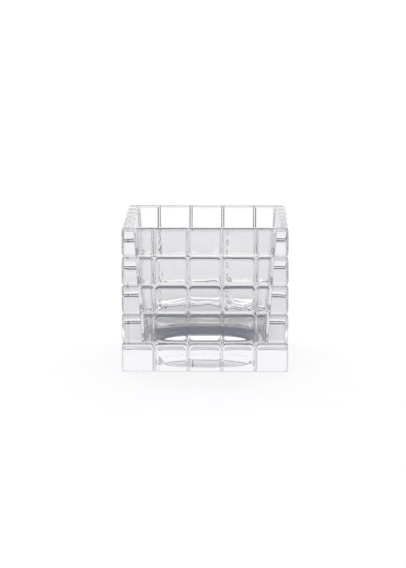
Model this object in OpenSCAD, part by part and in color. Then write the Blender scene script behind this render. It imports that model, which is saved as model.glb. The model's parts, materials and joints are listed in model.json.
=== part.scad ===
// Square pressed-glass flower vase with a five by five block pattern on each side.
// Frame: millimetres, +Z up, origin at the middle of the underside. The front faces -Y.

/* [Vessel] */
// Outside width and depth across the block faces
vessel_w = 101.6; // [95:0.2:110]
// Height from the foot to the rim
vessel_h = 88; // [84:1:94]
// Wall thickness at the rim, including the blocks
rim_wall = 7.25; // [6.5:0.25:9]
// Wall thickness where the wall meets the floor, including the blocks
foot_wall = 12.25; // [11:0.25:14]
// Height of the inside floor above the foot, over its raised middle
floor_h = 18.7; // [17:0.1:22]
// How far the floor falls from its raised middle to its four corners
floor_fall = 2; // [1:0.1:3]
// Radius of the flat top of the raised middle
floor_disc_r = 36; // [32:0.5:37.5]
// Radius where the inside wall turns into the floor
floor_fillet = 4; // [2:0.5:6]
// Bevel of the rim's inner edge
rim_bevel = 0.8; // [0.4:0.1:1.2]

/* [Blocks] */
// Blocks across each side
columns = 5; // [4:1:6]
// Blocks up each side
rows = 5; // [4:1:6]
// Depth of the upright grooves between columns
column_groove = 1.3; // [1:0.1:1.8]
// Depth of the level grooves between rows
row_groove = 1.5; // [1.1:0.1:2]
// Width of the gap between neighbouring blocks at their full radius
block_gap = 0.7; // [0.4:0.1:1.2]
// Radius of the rounded edges of every block
block_r = 2.2; // [2.1:0.1:3]

/* [Underside] */
// Radius of the round hollow under the base
punt_r = 32; // [26:1:38]
// Height of the round hollow at its middle
punt_h = 2.5; // [1.5:0.5:4]

/* [Hidden] */
$fn = 64;

column_pitch = vessel_w / columns;
row_pitch = vessel_h / rows;
// The row outline stands this far outside the column outline, so that only its grooves cut.
row_proud = 0.15;
// Cutters run this far past the faces they cut.
overrun = 5;
// Radius of the ball that hollows the underside, from the hollow's radius and height.
punt_ball_r = (punt_r * punt_r + punt_h * punt_h) / (2 * punt_h);

// Half-widths of the inside at the floor's corners and at the rim, and the draft between them.
corner_h = floor_h - floor_fall;
floor_half = vessel_w / 2 - foot_wall;
rim_half = vessel_w / 2 - rim_wall;
draft = atan((rim_half - floor_half) / (vessel_h - corner_h));
// Radius where the raised middle has fallen all the way, so that only the corners lie lower.
floor_edge_r = 1.18 * floor_half;

// A rectangle from [x0, y0] to [x1, y1] with round corners of radius r.
module round_rect(x0, y0, x1, y1, r) {
    translate([x0 + r, y0]) square([x1 - x0 - 2 * r, y1 - y0]);
    translate([x0, y0 + r]) square([x1 - x0, y1 - y0 - 2 * r]);
    for (x = [x0 + r, x1 - r], y = [y0 + r, y1 - r])
        translate([x, y]) circle(r = r);
}

// A row of n round-cornered bars side by side, starting at X = 0 and running from -half to half in Y.
// A core set back from both ends joins them, so that a groove is left at each end of every gap.
module grooved_bars(n, pitch, half, groove) {
    core = half - groove;
    translate([block_r, -core]) square([n * pitch - 2 * block_r, 2 * core]);
    for (i = [0 : n - 1]) {
        from = i * pitch + (i > 0 ? block_gap / 2 : 0);
        to = (i + 1) * pitch - (i < n - 1 ? block_gap / 2 : 0);
        round_rect(from, -half, to, half, block_r);
    }
}

// Seen from above: a square outline with a groove between the blocks on all four sides.
module plan_outline() {
    half = vessel_w / 2;
    intersection_for (turn = [0, 90])
        rotate(turn)
            translate([-half, 0]) grooved_bars(columns, column_pitch, half, column_groove);
}

// Seen from the side: the rows of blocks, with round rim and foot edges. Drawn with Y upwards.
module side_outline() {
    rotate(90)
        grooved_bars(rows, row_pitch, vessel_w / 2 + row_proud, row_groove + row_proud);
}

// A side outline, drawn in X and Z, run through the whole depth of the vessel.
module through_y() {
    translate([0, vessel_w / 2 + overrun, 0])
        rotate([90, 0, 0])
            linear_extrude(vessel_w + 2 * overrun) children();
}

// The outside of the glass: the plan outline and the two side outlines, intersected.
module block_outside() {
    intersection() {
        linear_extrude(vessel_h) plan_outline();
        through_y() side_outline();
        rotate([0, 0, 90]) through_y() side_outline();
    }
}

// Half of the inside's section: drafted wall, fillet tangent to wall and floor, bevelled mouth.
module inside_section() {
    fillet_x = floor_half - floor_fillet * (1 - sin(draft)) / cos(draft);
    fillet_z = corner_h + floor_fillet;
    tangent = [fillet_x + floor_fillet * cos(draft), fillet_z - floor_fillet * sin(draft)];
    bevel_half = rim_half - rim_bevel * tan(draft);
    half_section = [
        [fillet_x, corner_h],
        tangent,
        [bevel_half, vessel_h - rim_bevel],
        [rim_half + rim_bevel, vessel_h],
        [rim_half + rim_bevel, vessel_h + overrun],
    ];
    count = len(half_section);
    mirrored = [for (i = [1 : count]) [-half_section[count - i][0], half_section[count - i][1]]];
    polygon(concat(half_section, mirrored));
    for (side = [-1, 1])
        translate([side * fillet_x, fillet_z]) circle(r = floor_fillet);
}

// The floor's raised middle: a flat round table whose edge slopes down to the corners.
module raised_floor() {
    translate([0, 0, corner_h])
        cylinder(h = floor_fall, r1 = floor_edge_r, r2 = floor_disc_r, $fn = 200);
}

// The space for stems and water.
module inside() {
    difference() {
        intersection() {
            through_y() inside_section();
            rotate([0, 0, 90]) through_y() inside_section();
        }
        raised_floor();
    }
}

// The shallow round hollow under the base.
module punt() {
    translate([0, 0, punt_h - punt_ball_r]) sphere(r = punt_ball_r, $fn = 200);
}

// The whole vessel is one pressing of clear glass.
module vase_body() {
    color([0.90, 0.93, 0.95, 0.45])
        difference() {
            block_outside();
            inside();
            punt();
        }
}

vase_body();
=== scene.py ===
import json
import math

import bpy
import numpy as np
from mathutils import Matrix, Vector


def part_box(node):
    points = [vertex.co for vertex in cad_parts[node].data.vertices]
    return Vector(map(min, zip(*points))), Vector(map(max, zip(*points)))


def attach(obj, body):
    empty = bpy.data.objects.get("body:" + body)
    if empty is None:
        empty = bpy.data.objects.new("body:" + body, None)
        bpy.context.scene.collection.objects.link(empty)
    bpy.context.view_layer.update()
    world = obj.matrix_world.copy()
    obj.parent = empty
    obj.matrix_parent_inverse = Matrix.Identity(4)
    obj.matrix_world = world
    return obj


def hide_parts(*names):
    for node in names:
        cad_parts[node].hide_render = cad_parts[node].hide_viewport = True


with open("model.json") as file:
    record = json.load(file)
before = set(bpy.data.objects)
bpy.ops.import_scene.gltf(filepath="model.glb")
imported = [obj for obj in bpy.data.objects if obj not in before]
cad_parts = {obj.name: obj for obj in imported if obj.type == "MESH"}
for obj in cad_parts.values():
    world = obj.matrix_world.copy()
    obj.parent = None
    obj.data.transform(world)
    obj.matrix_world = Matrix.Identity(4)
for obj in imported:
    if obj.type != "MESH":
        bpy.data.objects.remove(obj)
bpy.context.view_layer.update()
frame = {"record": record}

MM = 0.001

# ---------------------------------------------------------------- sizes, in metres, from the frame
body_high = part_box("vase_body")[1]
mounts = {mount["name"]: mount for mount in frame["record"]["mounts"]}
half_width = body_high.x
height = body_high.z
floor_height = mounts["well_floor"]["pos_m"][2]

COLUMNS = 5
ROWS = 5
column_pitch = 2 * half_width / COLUMNS
row_pitch = height / ROWS

# Wall thickness, blocks included, at the rim and where the wall meets the floor.
RIM_WALL = 7.25 * MM
FOOT_WALL = 12.25 * MM

# Round edges: upright outer corners, rim outside and inside, foot, upright corners of the well.
OUTER_EDGE = 3.0 * MM
RIM_OUTER_EDGE = 2.2 * MM
RIM_INNER_EDGE = 1.8 * MM
FOOT_EDGE = 0.7 * MM
INNER_CORNER = 3.2 * MM

# The round hollow under the base.
PUNT_RADIUS = 32.0 * MM
PUNT_HEIGHT = 2.5 * MM

# The bend between wall and floor: an oval arc, full at mid-side and small in the corners. It starts this
# many degrees round, under a bevel, and loses its reach at this share of the half side.
BEND_REACH = 13.0 * MM
BEND_RISE = 8.5 * MM
BEND_START = 25.0
BEND_SPREAD = 0.85
BEVEL_REACH = 2.3 * MM
CORNER_BEND = 1.5 * MM
RISE_FADE_POWER = 6

# The floor: a round table with a steep edge over its corners, and a faint dome on it.
FLOOR_FALL = 2.0 * MM
FLOOR_EDGE_POWER = 8.0
FLOOR_DOME = 0.3 * MM
FLOOR_DOME_POWER = 2.0
FLOOR_RADIUS = 45.5 * MM
corner_height = floor_height - FLOOR_FALL

# The line that the plunger's nose left round the inner wall: its height, its sag at a distance from
# mid-side, how far it stands in, and the short heights just over it where the wall turns in.
WITNESS_HEIGHT = 26.6 * MM
WITNESS_SAG = 1.7 * MM
WITNESS_SAG_AT = 27 * MM
WITNESS_LINE = 0.12 * MM
WITNESS_TOP = 0.6 * MM
WITNESS_FOOT = 0.05 * MM

# The grooves between the blocks: depth, flat half width, width of the round shoulder, and the blocks'
# corner radius and crown.
GROOVE_DEPTH = 1.7 * MM
GROOVE_LAND = 0.35 * MM
BLOCK_SHOULDER = 1.8 * MM
BLOCK_CORNER = 3.0 * MM
BLOCK_CROWN = 0.12 * MM

# Slow waves pressed into the outside, the inside, and the inside near the well's upright corners.
WAVE_HEIGHT = 0.13 * MM
WAVE_SIZE = 11 * MM
INSIDE_WAVE_HEIGHT = 0.25 * MM
INSIDE_WAVE_SIZE = 11 * MM
CORNER_WAVE_HEIGHT = 0.25 * MM
CORNER_WAVE_SIZE = 3.2 * MM
CORNER_WAVE_START = 27 * MM
CORNER_WAVE_FADE = 6 * MM
WAVE_SEED = 3.0
INSIDE_SEED_STEP = 11.0
CORNER_SEED_STEP = 23.0
# The inside waves grow to full over this first share of the way down from the rim.
WAVE_GROWTH = 1 / 6

# Places across half a groove and half a block, in millimetres, where the wall has an edge of its mesh.
GROOVE_STEPS = [0.0, 0.3, 0.48, 0.65, 0.85, 1.1, 1.4, 1.75, 2.1, 2.5, 4.2, 7.0]
EDGE_STEPS = 6
PUNT_STEPS = 12
INNER_WALL_STEPS = 24
LOWER_WALL_STEPS = 4
BEND_STEPS = 18
FLOOR_STEPS = 24
# Loops across the flat of the foot and of the rim, as shares of the way over it.
FOOT_SHARES = (0.15, 0.5, 0.85)
RIM_SHARES = (0.33, 0.67)


# ---------------------------------------------------------------- the vessel's mesh, before its relief
def groove_stations(count, pitch, start, end):
    """Stations along a side with count blocks: close together at each groove, wide apart on blocks."""
    stations = {round(start, 7), round(end, 7)}
    for line in range(count + 1):
        centre = line * pitch
        for step in GROOVE_STEPS:
            for sign in (-1, 1):
                station = centre + sign * step * MM
                if start < station < end:
                    stations.add(round(station, 7))
        if start < centre + pitch / 2 < end:
            stations.add(round(centre + pitch / 2, 7))
    return sorted(stations)


def side_stations():
    """Stations along the straight part of one side, from -1 to 1 of its half length."""
    reach = half_width - OUTER_EDGE
    stations = groove_stations(COLUMNS, column_pitch, OUTER_EDGE, 2 * half_width - OUTER_EDGE)
    return [(station - half_width) / reach for station in stations]


SIDE = side_stations()


def lift(z):
    """A step straight up."""
    return Vector((0, 0, z))


def sides():
    """For each of the four sides: its bearing, the direction it faces, and the direction along it."""
    for side in range(4):
        facing = math.pi / 2 * side
        normal = Vector((math.cos(facing), math.sin(facing), 0))
        yield facing, normal, Vector((-normal.y, normal.x, 0))


def corner_directions(facing):
    """Directions round the corner that follows the side with this bearing."""
    for step in range(1, EDGE_STEPS):
        angle = facing + math.pi / 2 * step / EDGE_STEPS
        yield Vector((math.cos(angle), math.sin(angle), 0))


def ring(half, corner, z):
    """One loop round the vessel: four sides and four round corners, anticlockwise from above."""
    points = []
    reach = half - corner
    for facing, normal, along in sides():
        for station in SIDE:
            points.append(normal * half + along * (station * reach) + lift(z))
        for out in corner_directions(facing):
            points.append((normal + along) * reach + out * corner + lift(z))
    return points


def round_ring(like, radius, z):
    """A circular loop whose points lie in the same directions as those of another loop."""
    points = []
    for point in like:
        out = Vector((point.x, point.y, 0)).normalized()
        points.append(out * radius + lift(z))
    return points


def quarter(centre_out, centre_z, radius, start, end, steps):
    """Points (distance out, height) along an arc, from one angle to another in degrees, ends included."""
    arc = []
    for step in range(steps + 1):
        angle = math.radians(start + (end - start) * step / steps)
        arc.append((centre_out + radius * math.cos(angle), centre_z + radius * math.sin(angle)))
    return arc


def floor_rise(point):
    """How far the well's floor stands above its own corners, under a point."""
    reach = math.hypot(point.x, point.y) / FLOOR_RADIUS
    edge = FLOOR_FALL * max(0.0, 1 - reach ** FLOOR_EDGE_POWER)
    return FLOOR_DOME * max(0.0, 1 - reach ** FLOOR_DOME_POWER) + edge


def raised(points):
    """The points, each lifted by the rise of the floor under it."""
    return [point + lift(floor_rise(point)) for point in points]


def bend_size(station):
    """Reach and rise of the bend, and reach of its bevel: full at mid-side (0), least at the ends (1)."""
    off = abs(station)
    fullness = max(0.0, 1 - (off / BEND_SPREAD) ** 2)
    height_share = 1 - off ** RISE_FADE_POWER
    reach = CORNER_BEND + (BEND_REACH - CORNER_BEND) * fullness
    rise = CORNER_BEND + (BEND_RISE - CORNER_BEND) * height_share
    return reach, rise, BEVEL_REACH * height_share


def bend_point(station, slope, share):
    """Distance out and height of a point on the bend, from its top (0) to its foot (1)."""
    reach, rise, bevel = bend_size(station)
    start = math.radians(BEND_START)
    turn = start + (math.pi / 2 - start) * share
    top = rise * (1 - math.sin(start))
    wall_out = half_width - FOOT_WALL + top * slope - bevel
    out = wall_out - reach * math.cos(start) + reach * math.cos(turn)
    return out, corner_height + rise * (1 - math.sin(turn))


def bend_ring(slope, share):
    """One loop through the bend between wall and floor."""
    points = []
    corner_out, corner_z = bend_point(1, slope, share)
    reach = corner_out - INNER_CORNER
    for facing, normal, along in sides():
        for station in SIDE:
            out, z = bend_point(station, slope, share)
            points.append(normal * out + along * (station * reach) + lift(z))
        for out in corner_directions(facing):
            points.append((normal + along) * reach + out * INNER_CORNER + lift(corner_z))
    return raised(points)


def witness_ring(slope, above, stand):
    """A loop on the inner wall just above the plunger's line, standing in a little way."""
    points = []
    side_reach = half_width - FOOT_WALL - INNER_CORNER
    for facing, normal, along in sides():
        for station in SIDE:
            sag = WITNESS_SAG * (station * side_reach / WITNESS_SAG_AT) ** 2
            z = WITNESS_HEIGHT - sag + above
            half = half_width - FOOT_WALL + (z - corner_height) * slope
            reach = half - INNER_CORNER
            points.append(normal * (half - stand) + along * (station * reach) + lift(z))
        for out in corner_directions(facing):
            points.append((normal + along) * reach + out * (INNER_CORNER - stand) + lift(z))
    return points


def between(first, second, share):
    """A loop part of the way from one loop to another."""
    return [a.lerp(b, share) for a, b in zip(first, second)]


def outside_loops():
    """Loops from the middle of the underside, out, up the outside and over the rim's outer edge.
    A loop is its points, its share of the relief and its share of the inside waves."""
    loops = []
    foot = ring(half_width, OUTER_EDGE, 0)
    ball = (PUNT_RADIUS ** 2 + PUNT_HEIGHT ** 2) / (2 * PUNT_HEIGHT)
    for step in range(1, PUNT_STEPS + 1):
        radius = PUNT_RADIUS * step / PUNT_STEPS
        z = PUNT_HEIGHT - ball + math.sqrt(ball ** 2 - radius ** 2)
        loops.append((round_ring(foot, radius, z), 0, 0))
    flat_half = half_width - FOOT_EDGE
    punt_edge = round_ring(foot, PUNT_RADIUS, 0)
    for share in FOOT_SHARES:
        loops.append((between(punt_edge, ring(flat_half, OUTER_EDGE, 0), share), 0, 0))
    for out, z in quarter(flat_half, FOOT_EDGE, FOOT_EDGE, -90, 0, EDGE_STEPS):
        relief = max(0.0, (out - flat_half) / FOOT_EDGE)
        loops.append((ring(out, OUTER_EDGE, z), relief, 0))
    for z in groove_stations(ROWS, row_pitch, FOOT_EDGE, height - RIM_OUTER_EDGE)[1:-1]:
        loops.append((ring(half_width, OUTER_EDGE, z), 1, 0))
    top_half = half_width - RIM_OUTER_EDGE
    for out, z in quarter(top_half, height - RIM_OUTER_EDGE, RIM_OUTER_EDGE, 0, 90, EDGE_STEPS):
        relief = max(0.0, (out - top_half) / RIM_OUTER_EDGE)
        loops.append((ring(out, OUTER_EDGE, z), relief, 0))
    return loops


def inside_loops():
    """Loops across the rim, down the inner wall, round the bend and in over the floor."""
    loops = []
    top_half = half_width - RIM_OUTER_EDGE
    edge_half = half_width - RIM_WALL + RIM_INNER_EDGE
    slope = (FOOT_WALL - RIM_WALL) / (height - corner_height)
    draft = math.degrees(math.atan(slope))
    for share in RIM_SHARES:
        loops.append((ring(top_half + (edge_half - top_half) * share, INNER_CORNER, height), 0, 0))
    edge = quarter(edge_half, height - RIM_INNER_EDGE, RIM_INNER_EDGE, 90, 180 - draft, EDGE_STEPS)
    for out, z in edge:
        loops.append((ring(out, INNER_CORNER, z), 0, 0))
    wall_top = loops[-1][0]
    wall_foot = bend_ring(slope, 0)
    witness = witness_ring(slope, WITNESS_TOP, 0)
    for step in range(1, INNER_WALL_STEPS + 1):
        share = step / INNER_WALL_STEPS
        loops.append((between(wall_top, witness, share), 0, min(1, share / WAVE_GROWTH)))
    witness = witness_ring(slope, WITNESS_FOOT, WITNESS_LINE)
    for step in range(LOWER_WALL_STEPS):
        loops.append((between(witness, wall_foot, step / LOWER_WALL_STEPS), 0, 1))
    for step in range(BEND_STEPS + 1):
        loops.append((bend_ring(slope, step / BEND_STEPS), 0, 1 - step / BEND_STEPS))
    floor_edge = loops[-1][0]
    for step in range(1, FLOOR_STEPS):
        share = 1 - step / FLOOR_STEPS
        points = [Vector((edge.x * share, edge.y * share, corner_height)) for edge in floor_edge]
        loops.append((raised(points), 0, 0))
    return loops


def store(mesh, name, kind, values):
    """Keeps one value per point on the mesh, under a name that the relief looks up."""
    attribute = mesh.attributes.new(name, kind, "POINT")
    key = "vector" if kind == "FLOAT_VECTOR" else "value"
    attribute.data.foreach_set(key, np.asarray(values, np.float32).ravel())


def vessel_blank():
    """The plain vessel as one closed mesh, with what the relief needs to know at every point."""
    loops = outside_loops() + inside_loops()
    count = len(loops[0][0])
    outward, along_side = [], []
    for facing, normal, _ in sides():
        for station in SIDE:
            outward.append(tuple(normal))
            along_side.append(station * (half_width - OUTER_EDGE))
        for out in corner_directions(facing):
            outward.append(tuple(out))
            along_side.append(half_width)

    vertices, relief, inside = [], [], []
    for points, relief_share, inside_share in loops:
        vertices.extend(tuple(point) for point in points)
        relief.extend([relief_share] * count)
        inside.extend([inside_share] * count)
    faces = []
    for low_loop in range(len(loops) - 1):
        for i in range(count):
            j = (i + 1) % count
            a, b = low_loop * count, (low_loop + 1) * count
            faces.append((a + i, a + j, b + j, b + i))
    under_pole = len(vertices)
    vertices.append((0, 0, PUNT_HEIGHT))
    floor_pole = len(vertices)
    vertices.append((0, 0, corner_height + FLOOR_DOME + FLOOR_FALL))
    top = (len(loops) - 1) * count
    for i in range(count):
        j = (i + 1) % count
        faces.append((under_pole, j, i))
        faces.append((floor_pole, top + i, top + j))
    mesh = bpy.data.meshes.new("vessel_blank")
    mesh.from_pydata(vertices, [], faces)
    store(mesh, "outward", "FLOAT_VECTOR", outward * len(loops) + [(0, 0, 1)] * 2)
    store(mesh, "along", "FLOAT", along_side * len(loops) + [0, 0])
    store(mesh, "relief", "FLOAT", relief + [0, 0])
    store(mesh, "inside", "FLOAT", inside + [0, 0])
    mesh.update()
    piece = bpy.data.objects.new("vase_glass", mesh)
    bpy.context.scene.collection.objects.link(piece)
    return piece


# ---------------------------------------------------------------- block relief, as geometry nodes
def link_or_set(tree, socket, value):
    """Links a socket's value in, or sets a plain one."""
    if isinstance(value, bpy.types.NodeSocket):
        tree.links.new(value, socket)
    else:
        socket.default_value = value


def maths(tree, operation, *inputs, clamp=False):
    """One Math node; each input is a socket or a number. Returns its output."""
    node = tree.nodes.new("ShaderNodeMath")
    node.operation = operation
    node.use_clamp = clamp
    for socket, value in zip(node.inputs, inputs):
        link_or_set(tree, socket, value)
    return node.outputs[0]


def named(tree, name, kind):
    """A value kept on the mesh under a name. Returns its output."""
    node = tree.nodes.new("GeometryNodeInputNamedAttribute")
    node.data_type = kind
    node.inputs["Name"].default_value = name
    return node.outputs["Attribute"]


def groove_distance(tree, spot, pitch, count):
    """Distance to the nearest groove's centre line, from a spot measured from the first block's edge."""
    blocks = maths(tree, "DIVIDE", spot, pitch)
    nearest = maths(tree, "ROUND", blocks)
    last = maths(tree, "SUBTRACT", count, 1.0)
    nearest = maths(tree, "MINIMUM", maths(tree, "MAXIMUM", nearest, 1.0), last)
    off = maths(tree, "ABSOLUTE", maths(tree, "SUBTRACT", blocks, nearest))
    return maths(tree, "MULTIPLY", off, pitch)


def bulge(tree, spot, pitch):
    """1 at the middle of a block and 0 at its edges, along one direction."""
    share = maths(tree, "FRACT", maths(tree, "DIVIDE", spot, pitch))
    off = maths(tree, "MULTIPLY", maths(tree, "ABSOLUTE", maths(tree, "SUBTRACT", share, 0.5)), 2.0)
    return maths(tree, "SUBTRACT", 1.0, maths(tree, "MULTIPLY", off, off))


def wave(tree, size, seed):
    """A slow, even noise over the piece, from -1 to 1."""
    position = tree.nodes.new("GeometryNodeInputPosition")
    node = tree.nodes.new("ShaderNodeTexNoise")
    node.noise_dimensions = "4D"
    tree.links.new(position.outputs[0], node.inputs["Vector"])
    tree.links.new(seed, node.inputs["W"])
    tree.links.new(maths(tree, "DIVIDE", 1.0, size), node.inputs["Scale"])
    node.inputs["Detail"].default_value = 1.0
    return maths(tree, "SUBTRACT", maths(tree, "MULTIPLY", node.outputs[0], 2.0), 1.0)


RELIEF_INPUTS = [
    ("Half Width", "NodeSocketFloat", half_width),
    ("Column Pitch", "NodeSocketFloat", column_pitch),
    ("Row Pitch", "NodeSocketFloat", row_pitch),
    ("Columns", "NodeSocketInt", COLUMNS),
    ("Rows", "NodeSocketInt", ROWS),
    ("Groove Depth", "NodeSocketFloat", GROOVE_DEPTH),
    ("Groove Land", "NodeSocketFloat", GROOVE_LAND),
    ("Shoulder", "NodeSocketFloat", BLOCK_SHOULDER),
    ("Block Corner", "NodeSocketFloat", BLOCK_CORNER),
    ("Crown", "NodeSocketFloat", BLOCK_CROWN),
    ("Wave Height", "NodeSocketFloat", WAVE_HEIGHT),
    ("Wave Size", "NodeSocketFloat", WAVE_SIZE),
    ("Inside Wave Height", "NodeSocketFloat", INSIDE_WAVE_HEIGHT),
    ("Inside Wave Size", "NodeSocketFloat", INSIDE_WAVE_SIZE),
    ("Corner Wave Height", "NodeSocketFloat", CORNER_WAVE_HEIGHT),
    ("Corner Wave Size", "NodeSocketFloat", CORNER_WAVE_SIZE),
    ("Corner Start", "NodeSocketFloat", CORNER_WAVE_START),
    ("Corner Fade", "NodeSocketFloat", CORNER_WAVE_FADE),
    ("Seed", "NodeSocketFloat", WAVE_SEED),
    ("Glass", "NodeSocketMaterial", None),
]


def relief_tree():
    """Presses the grooves between the blocks into the outside, and slow waves into both sides."""
    tree = bpy.data.node_groups.new("block_relief", "GeometryNodeTree")
    tree.interface.new_socket("Geometry", in_out="INPUT", socket_type="NodeSocketGeometry")
    for name, kind, value in RELIEF_INPUTS:
        socket = tree.interface.new_socket(name, in_out="INPUT", socket_type=kind)
        if value is not None:
            socket.default_value = value
    tree.interface.new_socket("Geometry", in_out="OUTPUT", socket_type="NodeSocketGeometry")
    given = tree.nodes.new("NodeGroupInput").outputs
    result = tree.nodes.new("NodeGroupOutput")

    position = tree.nodes.new("GeometryNodeInputPosition")
    split = tree.nodes.new("ShaderNodeSeparateXYZ")
    tree.links.new(position.outputs[0], split.inputs[0])
    up = split.outputs["Z"]
    across = maths(tree, "ADD", named(tree, "along", "FLOAT"), given["Half Width"])

    to_column = groove_distance(tree, across, given["Column Pitch"], given["Columns"])
    to_row = groove_distance(tree, up, given["Row Pitch"], given["Rows"])
    corner = given["Block Corner"]
    side_lack = maths(tree, "MAXIMUM", maths(tree, "SUBTRACT", corner, to_column), 0.0)
    level_lack = maths(tree, "MAXIMUM", maths(tree, "SUBTRACT", corner, to_row), 0.0)
    squares = maths(tree, "ADD", maths(tree, "MULTIPLY", side_lack, side_lack),
                    maths(tree, "MULTIPLY", level_lack, level_lack))
    from_groove = maths(tree, "SUBTRACT", corner, maths(tree, "SQRT", squares))

    past_land = maths(tree, "SUBTRACT", from_groove, given["Groove Land"])
    rest = maths(tree, "SUBTRACT", 1.0, maths(tree, "DIVIDE", past_land, given["Shoulder"], clamp=True))
    round_off = maths(tree, "SQRT", maths(tree, "SUBTRACT", 1.0, maths(tree, "MULTIPLY", rest, rest)))
    groove = maths(tree, "MULTIPLY", maths(tree, "SUBTRACT", 1.0, round_off), given["Groove Depth"])

    column_bulge = bulge(tree, across, given["Column Pitch"])
    middle = maths(tree, "MULTIPLY", column_bulge, bulge(tree, up, given["Row Pitch"]))
    crown = maths(tree, "MULTIPLY", maths(tree, "SUBTRACT", 1.0, middle), given["Crown"])
    outside_wave = maths(tree, "ADD", wave(tree, given["Wave Size"], given["Seed"]), 1.0)
    ripple = maths(tree, "MULTIPLY", outside_wave, given["Wave Height"])
    pressed = maths(tree, "ADD", groove, maths(tree, "ADD", crown, ripple))
    outside = maths(tree, "MULTIPLY", pressed, named(tree, "relief", "FLOAT"))

    inside_seed = maths(tree, "ADD", given["Seed"], INSIDE_SEED_STEP)
    inside_wave = wave(tree, given["Inside Wave Size"], inside_seed)
    swell = maths(tree, "MULTIPLY", inside_wave, given["Inside Wave Height"])
    corner_seed = maths(tree, "ADD", given["Seed"], CORNER_SEED_STEP)
    corner_wave = wave(tree, given["Corner Wave Size"], corner_seed)
    short = maths(tree, "MULTIPLY", corner_wave, given["Corner Wave Height"])
    from_middle = maths(tree, "ABSOLUTE", named(tree, "along", "FLOAT"))
    past = maths(tree, "SUBTRACT", from_middle, given["Corner Start"])
    near_corner = maths(tree, "DIVIDE", past, given["Corner Fade"], clamp=True)
    both = maths(tree, "ADD", swell, maths(tree, "MULTIPLY", short, near_corner))
    inside = maths(tree, "MULTIPLY", both, named(tree, "inside", "FLOAT"))
    inward = maths(tree, "ADD", outside, inside)

    scale = tree.nodes.new("ShaderNodeVectorMath")
    scale.operation = "SCALE"
    tree.links.new(named(tree, "outward", "FLOAT_VECTOR"), scale.inputs[0])
    tree.links.new(maths(tree, "MULTIPLY", inward, -1.0), scale.inputs["Scale"])
    press = tree.nodes.new("GeometryNodeSetPosition")
    tree.links.new(given["Geometry"], press.inputs["Geometry"])
    tree.links.new(scale.outputs[0], press.inputs["Offset"])
    smooth = tree.nodes.new("GeometryNodeSetShadeSmooth")
    tree.links.new(press.outputs[0], smooth.inputs[0])
    realize = tree.nodes.new("GeometryNodeRealizeInstances")
    tree.links.new(smooth.outputs[0], realize.inputs[0])
    paint = tree.nodes.new("GeometryNodeSetMaterial")
    tree.links.new(realize.outputs[0], paint.inputs["Geometry"])
    tree.links.new(given["Glass"], paint.inputs["Material"])
    tree.links.new(paint.outputs[0], result.inputs[0])
    return tree


def press_relief(piece, glass):
    """Runs the relief on the blank and keeps the result as a plain mesh."""
    tree = relief_tree()
    modifier = piece.modifiers.new("block_relief", "NODES")
    modifier.node_group = tree
    for item in tree.interface.items_tree:
        if item.in_out == "INPUT" and item.name == "Glass":
            modifier[item.identifier] = glass
    bpy.context.view_layer.update()
    evaluated = piece.evaluated_get(bpy.context.evaluated_depsgraph_get())
    pressed = bpy.data.meshes.new_from_object(evaluated)
    piece.modifiers.remove(modifier)
    piece.data = pressed
    pressed.name = "vase_glass"
    for name in ("outward", "along", "relief", "inside"):
        attribute = pressed.attributes.get(name)
        if attribute is not None:
            pressed.attributes.remove(attribute)


# ---------------------------------------------------------------- materials
def place(tree, node_type, label, x, y):
    """A new node, labelled and set down at (x, y) on the node sheet."""
    node = tree.nodes.new(node_type)
    node.label = label
    node.location = (x, y)
    return node


def noise(tree, vector, size, detail, x, y):
    """Noise with features about size across, in metres. Returns its value."""
    node = place(tree, "ShaderNodeTexNoise", "noise", x, y)
    tree.links.new(vector, node.inputs["Vector"])
    node.inputs["Scale"].default_value = 1 / size
    node.inputs["Detail"].default_value = detail
    return node.outputs[0]


def map_range(tree, value, low, high, to_low, to_high, x, y):
    """A smooth step from one level to another as a value goes from low to high. Returns its output."""
    node = place(tree, "ShaderNodeMapRange", "range", x, y)
    node.interpolation_type = "SMOOTHSTEP"
    tree.links.new(value, node.inputs["Value"])
    for name, number in (("From Min", low), ("From Max", high), ("To Min", to_low), ("To Max", to_high)):
        node.inputs[name].default_value = number
    return node.outputs["Result"]


def new_group(name, inputs, outputs):
    """A shader node group with its sockets. Returns the tree and the sockets it is given and fills."""
    tree = bpy.data.node_groups.new(name, "ShaderNodeTree")
    for socket_name, kind, value in inputs:
        socket = tree.interface.new_socket(socket_name, in_out="INPUT", socket_type=kind)
        if value is not None:
            socket.default_value = value
    for socket_name, kind in outputs:
        tree.interface.new_socket(socket_name, in_out="OUTPUT", socket_type=kind)
    given = place(tree, "NodeGroupInput", "in", -900, 0)
    result = place(tree, "NodeGroupOutput", "out", 700, 0)
    return tree, given.outputs, result.inputs


def use_group(tree, group, x, y, **values):
    """One use of a node group, with its inputs set by name (spaces written as underscores)."""
    node = place(tree, "ShaderNodeGroup", group.name, x, y)
    node.node_tree = group
    for name, value in values.items():
        link_or_set(tree, node.inputs[name.replace("_", " ")], value)
    return node


# Streaks in the polished skin are this much finer across than upwards.
STREAK_SQUASH = 0.22


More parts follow.
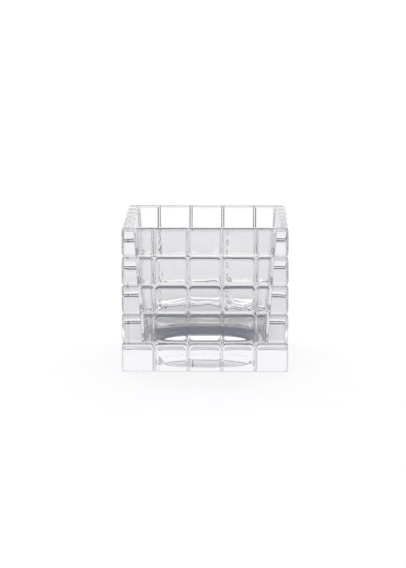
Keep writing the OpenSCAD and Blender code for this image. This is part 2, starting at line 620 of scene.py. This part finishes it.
def fire_polish_group():
    """Slow swells and short streaks left in a pressed face when flame closes its skin, as a normal."""
    tree, given, result = new_group(
        "fire_polish",
        [("Position", "NodeSocketVector", None), ("Cord", "NodeSocketFloat", 0.0),
         ("Swell Size", "NodeSocketFloat", 9 * MM),
         ("Swell Height", "NodeSocketFloat", 0.03 * MM), ("Streak Size", "NodeSocketFloat", 2.2 * MM),
         ("Streak Height", "NodeSocketFloat", 0.004 * MM)],
        [("Normal", "NodeSocketVector")])
    squash = place(tree, "ShaderNodeMapping", "streaks run upwards", -650, -200)
    squash.inputs["Scale"].default_value = (1, 1, STREAK_SQUASH)
    tree.links.new(given["Position"], squash.inputs["Vector"])
    swell = place(tree, "ShaderNodeTexNoise", "swells", -400, 150)
    streak = place(tree, "ShaderNodeTexNoise", "streaks", -400, -200)
    uses = ((swell, given["Position"], "Swell Size"), (streak, squash.outputs[0], "Streak Size"))
    for node, vector, size in uses:
        tree.links.new(vector, node.inputs["Vector"])
        tree.links.new(maths(tree, "DIVIDE", 1.0, given[size]), node.inputs["Scale"])
        node.inputs["Detail"].default_value = 1.0
    tall = maths(tree, "MULTIPLY", swell.outputs[0], given["Swell Height"])
    short = maths(tree, "MULTIPLY", streak.outputs[0], given["Streak Height"])
    bump = place(tree, "ShaderNodeBump", "skin", 400, 0)
    bump.inputs["Distance"].default_value = 1.0
    skin = maths(tree, "ADD", maths(tree, "ADD", tall, short), given["Cord"])
    tree.links.new(skin, bump.inputs["Height"])
    tree.links.new(bump.outputs[0], result["Normal"])
    return tree


# The cord of stiffer glass: how far it sways and how slowly, how much its beads swell, the depths
# between which it lies in the front wall, and the heights over which it fades downwards to a share.
SWAY = 0.4 * MM
SWAY_PER_BEAD = 0.37
BEAD_SWING = 0.35
CORD_FRONT = (-46 * MM, -44 * MM)
CORD_BACK = (-38 * MM, -36 * MM)
CORD_FADE = (34 * MM, 42 * MM)
CORD_FOOT_SHARE = 0.35


def cord_group():
    """A beaded cord of stiffer glass running down inside the front wall, as a height."""
    tree, given, result = new_group(
        "glass_cord",
        [("Position", "NodeSocketVector", None), ("Across", "NodeSocketFloat", 14.6 * MM),
         ("Half Width", "NodeSocketFloat", 1.5 * MM), ("Stand", "NodeSocketFloat", 0.22 * MM),
         ("Bead", "NodeSocketFloat", 7.0 * MM)],
        [("Height", "NodeSocketFloat")])
    split = place(tree, "ShaderNodeSeparateXYZ", "place", -700, 0)
    tree.links.new(given["Position"], split.inputs[0])
    beads = maths(tree, "DIVIDE", split.outputs["Z"], given["Bead"])
    turns = maths(tree, "MULTIPLY", beads, 2 * math.pi)
    sway = maths(tree, "SINE", maths(tree, "MULTIPLY", turns, SWAY_PER_BEAD))
    middle = maths(tree, "ADD", given["Across"], maths(tree, "MULTIPLY", sway, SWAY))
    share = maths(tree, "DIVIDE", maths(tree, "SUBTRACT", split.outputs["X"], middle), given["Half Width"])
    square = maths(tree, "MULTIPLY", share, share)
    ridge = maths(tree, "EXPONENT", maths(tree, "MULTIPLY", square, -1.0))
    swing = maths(tree, "MULTIPLY", maths(tree, "SINE", turns), BEAD_SWING)
    bead = maths(tree, "ADD", swing, 1 - BEAD_SWING)
    front = map_range(tree, split.outputs["Y"], *CORD_FRONT, 0.0, 1.0, -400, -300)
    inner = map_range(tree, split.outputs["Y"], *CORD_BACK, 1.0, 0.0, -400, -500)
    upper = map_range(tree, split.outputs["Z"], *CORD_FADE, CORD_FOOT_SHARE, 1.0, -400, -700)
    where = maths(tree, "MULTIPLY", maths(tree, "MULTIPLY", front, inner), upper)
    tall = maths(tree, "MULTIPLY", maths(tree, "MULTIPLY", ridge, bead), given["Stand"])
    tree.links.new(maths(tree, "MULTIPLY", tall, where), result["Height"])
    return tree


# Wear reaches this far up from the foot and down from the rim, and is weaker on the rim. Scuffs lie
# where the fine noise is between these values.
FOOT_WEAR = 0.7 * MM
RIM_WEAR = 0.35 * MM
RIM_WEAR_SHARE = 0.25
SCUFF_RANGE = (0.45, 0.7)
FILM_SIZE = 16 * MM


def wear_group():
    """Fine scuffs where the foot slides and the rim is handled, and a faint film elsewhere."""
    tree, given, result = new_group(
        "foot_and_rim_wear",
        [("Position", "NodeSocketVector", None), ("Top", "NodeSocketFloat", height),
         ("Film", "NodeSocketFloat", 0.004), ("Scuff", "NodeSocketFloat", 0.16),
         ("Scuff Size", "NodeSocketFloat", 1.1 * MM)],
        [("Roughness", "NodeSocketFloat")])
    split = place(tree, "ShaderNodeSeparateXYZ", "height", -650, 200)
    tree.links.new(given["Position"], split.inputs[0])
    up = split.outputs["Z"]
    foot = map_range(tree, up, 0.0, FOOT_WEAR, 1.0, 0.0, -400, 250)
    to_top = maths(tree, "SUBTRACT", given["Top"], up)
    rim = map_range(tree, to_top, 0.0, RIM_WEAR, RIM_WEAR_SHARE, 0.0, -400, 0)
    fine = place(tree, "ShaderNodeTexNoise", "scuffs", -400, -250)
    tree.links.new(given["Position"], fine.inputs["Vector"])
    tree.links.new(maths(tree, "DIVIDE", 1.0, given["Scuff Size"]), fine.inputs["Scale"])
    fine.inputs["Detail"].default_value = 4.0
    patchy = map_range(tree, fine.outputs[0], *SCUFF_RANGE, 0.0, 1.0, -150, -250)
    worn = maths(tree, "MULTIPLY", maths(tree, "MAXIMUM", foot, rim), patchy)
    clouds = noise(tree, given["Position"], FILM_SIZE, 2.0, -400, -500)
    film = maths(tree, "MULTIPLY", clouds, given["Film"])
    rough = maths(tree, "ADD", maths(tree, "MULTIPLY", worn, given["Scuff"]), film)
    tree.links.new(rough, result["Roughness"])
    return tree


def new_material(name):
    """A material with one shader. Returns it, its tree, the shader and the output node."""
    material = bpy.data.materials.new(name)
    material.use_nodes = True
    tree = material.node_tree
    tree.nodes.clear()
    shader = place(tree, "ShaderNodeBsdfPrincipled", name, 300, 0)
    output = place(tree, "ShaderNodeOutputMaterial", "out", 600, 0)
    tree.links.new(shader.outputs[0], output.inputs["Surface"])
    return material, tree, shader, output


GLASS_TINT = (0.885, 0.885, 0.885, 1)
GLASS_IOR = 1.52
# How fast the glass dims light along its way, per metre, and the colour it keeps.
GLASS_DIMMING = 1.9
GLASS_KEEPS = (0.02, 0.04, 0.16, 1)


def clear_glass():
    """Clear soda glass with a fire-polished skin, scuffed where it stands."""
    material, tree, shader, output = new_material("clear_glass")
    shader.inputs["Base Color"].default_value = GLASS_TINT
    shader.inputs["IOR"].default_value = GLASS_IOR
    shader.inputs["Metallic"].default_value = 0.0
    shader.inputs["Transmission Weight"].default_value = 1.0
    where = place(tree, "ShaderNodeTexCoord", "where", -500, 0).outputs["Object"]
    cord = use_group(tree, cord_group(), -400, -350, Position=where)
    polish = use_group(tree, fire_polish_group(), -200, -200, Position=where, Cord=cord.outputs[0])
    wear = use_group(tree, wear_group(), -200, 100, Position=where)
    tree.links.new(wear.outputs["Roughness"], shader.inputs["Roughness"])
    tree.links.new(polish.outputs["Normal"], shader.inputs["Normal"])
    depth = place(tree, "ShaderNodeVolumeAbsorption", "dimming with depth", 300, -400)
    depth.inputs["Density"].default_value = GLASS_DIMMING
    depth.inputs["Color"].default_value = GLASS_KEEPS
    tree.links.new(depth.outputs[0], output.inputs["Volume"])
    return material


# The floor gives off a little light of its own, so that the vase stands on white with hardly a shadow.
# It has one colour near the vase, and painted shade in a dim colour far off to the sides and in a bluish
# one under the foot.
FLOOR_COLOR = (0.80, 0.80, 0.81, 1)
ASIDE_SHADE_COLOR = (0.24, 0.25, 0.30, 1)
UNDER_SHADE_COLOR = (0.74, 0.79, 1.0, 1)
FLOOR_ROUGHNESS = 0.9
# Glow near the vase, far behind it (with the distances back over which it rises) and under the foot, where
# it is kept low as painted shade.
FLOOR_GLOW = 0.74
FAR_GLOW = 0.93
GLOW_RISE = (0.30, 0.42)
FOOT_SHADE_GLOW = 0.075
CLOUD_SIZE = 30 * MM
CLOUD_RANGE = (0.3, 0.7)
CLOUD_LEVELS = (0.985, 1.0)
FOOT_SHADE_EDGE = (half_width - 2 * MM, half_width + 0.2 * MM)
# Distances aside over which the floor darkens to a painted shade. They widen to the back and narrow to the
# front.
FLOOR_WHITE_REACH = (0.135, 0.32)
ASIDE_SHADE_LEVEL = 0.15
WIDEN_BACK = 0.085
NARROW_FRONT = -0.16
# Light that the solid base gathers into a short bright bar on the floor behind it.
GATHERED_LIGHT = 0.7
GATHERED_HALF = (24 * MM, 32 * MM)
GATHERED_NEAR = (half_width + 33 * MM, half_width + 40 * MM)
GATHERED_FAR = (half_width + 52 * MM, half_width + 60 * MM)
# The soft shadow of the vase on the floor behind it, as the share of the glow that it takes.
SHADOW = 0.20
SHADOW_HALF = (38 * MM, 50 * MM)
SHADOW_FAR = (half_width + 62 * MM, half_width + 140 * MM)
# Half the width of the floor, and how far it lies under the foot.
FLOOR_HALF = 9.0
FLOOR_DROP = 0.1 * MM


def mix_node(tree, kind, label, factor, x, y):
    """A Mix node of kind FLOAT or RGBA with its factor linked. Inputs 2 and 3, or 6 and 7, are mixed."""
    node = place(tree, "ShaderNodeMix", label, x, y)
    node.data_type = kind
    tree.links.new(factor, node.inputs[0])
    return node


def floor_paint_and_shade():
    """Pale matt paint over a lit panel, dimmed by painted shade under the foot and far off to the sides
    and the front.
    """
    material, tree, shader, _ = new_material("studio_floor")
    where = place(tree, "ShaderNodeTexCoord", "where", -1200, 0).outputs["Object"]
    split = place(tree, "ShaderNodeSeparateXYZ", "across", -1000, 0)
    tree.links.new(where, split.inputs[0])
    back = split.outputs["Y"]
    x_off = maths(tree, "ABSOLUTE", split.outputs["X"])
    off = maths(tree, "MAXIMUM", x_off, maths(tree, "ABSOLUTE", back))
    # Painted shade under the foot: 1 inside the foot's outline, where the floor takes its under-foot
    # colour and low glow.
    foot = map_range(tree, off, *FOOT_SHADE_EDGE, 1.0, 0.0, -700, 200)

    widened = maths(tree, "MULTIPLY", maths(tree, "MAXIMUM", back, 0.0), WIDEN_BACK)
    narrowed = maths(tree, "MULTIPLY", back, NARROW_FRONT)
    aside = maths(tree, "MAXIMUM", maths(tree, "SUBTRACT", x_off, widened), narrowed)
    # Painted shade aside: the floor's paint and glow fall to a dim share far off to the sides and the
    # front.
    white = map_range(tree, aside, *FLOOR_WHITE_REACH, 1.0, ASIDE_SHADE_LEVEL, -700, -100)
    clouds = noise(tree, where, CLOUD_SIZE, 3.0, -900, -350)
    cloud = map_range(tree, clouds, *CLOUD_RANGE, *CLOUD_LEVELS, -700, -350)
    glow_level = map_range(tree, back, *GLOW_RISE, FLOOR_GLOW, FAR_GLOW, -700, -600)
    glow = maths(tree, "MULTIPLY", maths(tree, "MULTIPLY", white, cloud), glow_level)

    shadow_x = map_range(tree, x_off, *SHADOW_HALF, SHADOW, 0.0, -700, -1450)
    shadow_y = map_range(tree, back, *SHADOW_FAR, 1.0, 0.0, -700, -1650)
    behind_only = map_range(tree, back, 0.0, half_width, 0.0, 1.0, -700, -1850)
    shadow = maths(tree, "MULTIPLY", maths(tree, "MULTIPLY", shadow_x, shadow_y), behind_only)
    glow = maths(tree, "MULTIPLY", glow, maths(tree, "SUBTRACT", 1.0, shadow))

    gathered_x = map_range(tree, x_off, *GATHERED_HALF, 1.0, 0.0, -700, -850)
    near_edge = map_range(tree, back, *GATHERED_NEAR, 0.0, 1.0, -700, -1050)
    far_edge = map_range(tree, back, *GATHERED_FAR, 1.0, 0.0, -700, -1250)
    gathered = maths(tree, "MULTIPLY", maths(tree, "MULTIPLY", near_edge, far_edge), gathered_x)
    glow = maths(tree, "ADD", glow, maths(tree, "MULTIPLY", gathered, GATHERED_LIGHT))

    # Under the foot the glow drops low: painted shade.
    strength = mix_node(tree, "FLOAT", "glow", foot, -300, 0)
    tree.links.new(glow, strength.inputs[2])
    strength.inputs[3].default_value = FOOT_SHADE_GLOW
    # Far off to the sides and the front the paint turns to a dim bluish grey: painted shade.
    open_floor = mix_node(tree, "RGBA", "painted shade aside", white, -500, 450)
    open_floor.inputs[6].default_value = ASIDE_SHADE_COLOR
    open_floor.inputs[7].default_value = FLOOR_COLOR
    # Under the foot the paint turns bluish: painted shade.
    paint = mix_node(tree, "RGBA", "paint", foot, -300, 300)
    tree.links.new(open_floor.outputs[2], paint.inputs[6])
    paint.inputs[7].default_value = UNDER_SHADE_COLOR
    tree.links.new(paint.outputs[2], shader.inputs["Base Color"])
    shader.inputs["Roughness"].default_value = FLOOR_ROUGHNESS
    shader.inputs["Specular IOR Level"].default_value = 0.0
    shader.inputs["Emission Color"].default_value = (1, 1, 1, 1)
    tree.links.new(strength.outputs[0], shader.inputs["Emission Strength"])
    return material


# ---------------------------------------------------------------- stage, light and camera
def studio_floor():
    """A wide painted floor, just under the foot."""
    mesh = bpy.data.meshes.new("studio_floor")
    corners = [(-1, -1), (1, -1), (1, 1), (-1, 1)]
    points = [(x * FLOOR_HALF, y * FLOOR_HALF, -FLOOR_DROP) for x, y in corners]
    mesh.from_pydata(points, [], [(0, 1, 2, 3)])
    mesh.materials.append(floor_paint_and_shade())
    floor = bpy.data.objects.new("studio_floor", mesh)
    bpy.context.scene.collection.objects.link(floor)


# Light of the room by the sine of the elevation, and its share in front, rising to 1 as a direction
# points to the back.
SKY_LEVELS = [(0.0, 1.30), (0.30, 1.30), (0.62, 0.72), (0.90, 0.46)]
FRONT_LEVEL = 0.36
FRONT_TO_BACK = (0.5, 0.98)
# The light levels between which the room's dim parts turn from cool to white.
SHADE_LEVELS = (0.3, 1.1)
SHADE_COLOR = (0.93, 0.94, 1.0, 1)
# A colour ramp holds values up to 1, so levels are divided by this going in.
RAMP_TOP = 2.0


def studio_light():
    """A soft white room, brightest low down behind the vase and dimmer overhead, aside and in front."""
    world = bpy.data.worlds.new("studio_room")
    bpy.context.scene.world = world
    world.use_nodes = True
    tree = world.node_tree
    tree.nodes.clear()
    direction = place(tree, "ShaderNodeTexCoord", "direction", -900, 0)
    split = place(tree, "ShaderNodeSeparateXYZ", "split", -700, 0)
    tree.links.new(direction.outputs["Generated"], split.inputs[0])
    ramp = place(tree, "ShaderNodeValToRGB", "sky", -450, 200)
    steps = ramp.color_ramp
    while len(steps.elements) < len(SKY_LEVELS):
        steps.elements.new(0.5)
    for element, (position, level) in zip(steps.elements, SKY_LEVELS):
        element.position = position
        element.color = (level / RAMP_TOP, level / RAMP_TOP, level / RAMP_TOP, 1)
    tree.links.new(split.outputs["Z"], ramp.inputs[0])
    flat = place(tree, "ShaderNodeCombineXYZ", "bearing", -600, -250)
    tree.links.new(split.outputs["X"], flat.inputs["X"])
    tree.links.new(split.outputs["Y"], flat.inputs["Y"])
    bearing = place(tree, "ShaderNodeVectorMath", "bearing", -450, -250)
    bearing.operation = "NORMALIZE"
    tree.links.new(flat.outputs[0], bearing.inputs[0])
    towards = place(tree, "ShaderNodeSeparateXYZ", "towards the back", -300, -250)
    tree.links.new(bearing.outputs[0], towards.inputs[0])
    back = map_range(tree, towards.outputs["Y"], *FRONT_TO_BACK, FRONT_LEVEL, 1.0, -150, -250)
    level = maths(tree, "MULTIPLY", maths(tree, "MULTIPLY", ramp.outputs[0], RAMP_TOP), back)
    whiteness = map_range(tree, level, *SHADE_LEVELS, 0.0, 1.0, -200, -150)
    tint = mix_node(tree, "RGBA", "cool shade", whiteness, 0, 0)
    tint.inputs[6].default_value = SHADE_COLOR
    tint.inputs[7].default_value = (1, 1, 1, 1)
    shine = place(tree, "ShaderNodeBackground", "room", 200, 0)
    tree.links.new(tint.outputs[2], shine.inputs["Color"])
    tree.links.new(level, shine.inputs["Strength"])
    output = place(tree, "ShaderNodeOutputWorld", "out", 400, 0)
    tree.links.new(shine.outputs[0], output.inputs["Surface"])


# The camera looks at a point near the vase's middle from this far, turned and raised by these degrees.
CAMERA_AIM = Vector((-1.87 * MM, 0, height / 2 + 1.11 * MM))
CAMERA_DISTANCE = 1.615
CAMERA_AZIMUTH = 0.79
CAMERA_ELEVATION = 10.0
CAMERA_LENS = 163.9


def studio_camera():
    """A long lens in front of the vase, a little above it."""
    data = bpy.data.cameras.new("camera")
    data.lens = CAMERA_LENS
    data.sensor_width = 36
    data.clip_end = 50
    camera = bpy.data.objects.new("camera", data)
    bpy.context.scene.collection.objects.link(camera)
    azimuth = math.radians(CAMERA_AZIMUTH)
    elevation = math.radians(CAMERA_ELEVATION)
    level_reach = math.cos(elevation)
    away = Vector((math.sin(azimuth) * level_reach, -math.cos(azimuth) * level_reach, math.sin(elevation)))
    camera.location = CAMERA_AIM + away * CAMERA_DISTANCE
    camera.rotation_euler = away.to_track_quat("Z", "Y").to_euler()
    bpy.context.scene.camera = camera


def picture_settings():
    """Plain colours, and light that may pass through many faces of glass."""
    scene = bpy.context.scene
    scene.view_settings.view_transform = "Standard"
    scene.cycles.max_bounces = 32
    scene.cycles.transmission_bounces = 32
    scene.cycles.glossy_bounces = 16
    scene.cycles.diffuse_bounces = 3


studio_camera()
vase = vessel_blank()
press_relief(vase, clear_glass())
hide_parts("vase_body")
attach(vase, "root")
studio_floor()
studio_light()
picture_settings()
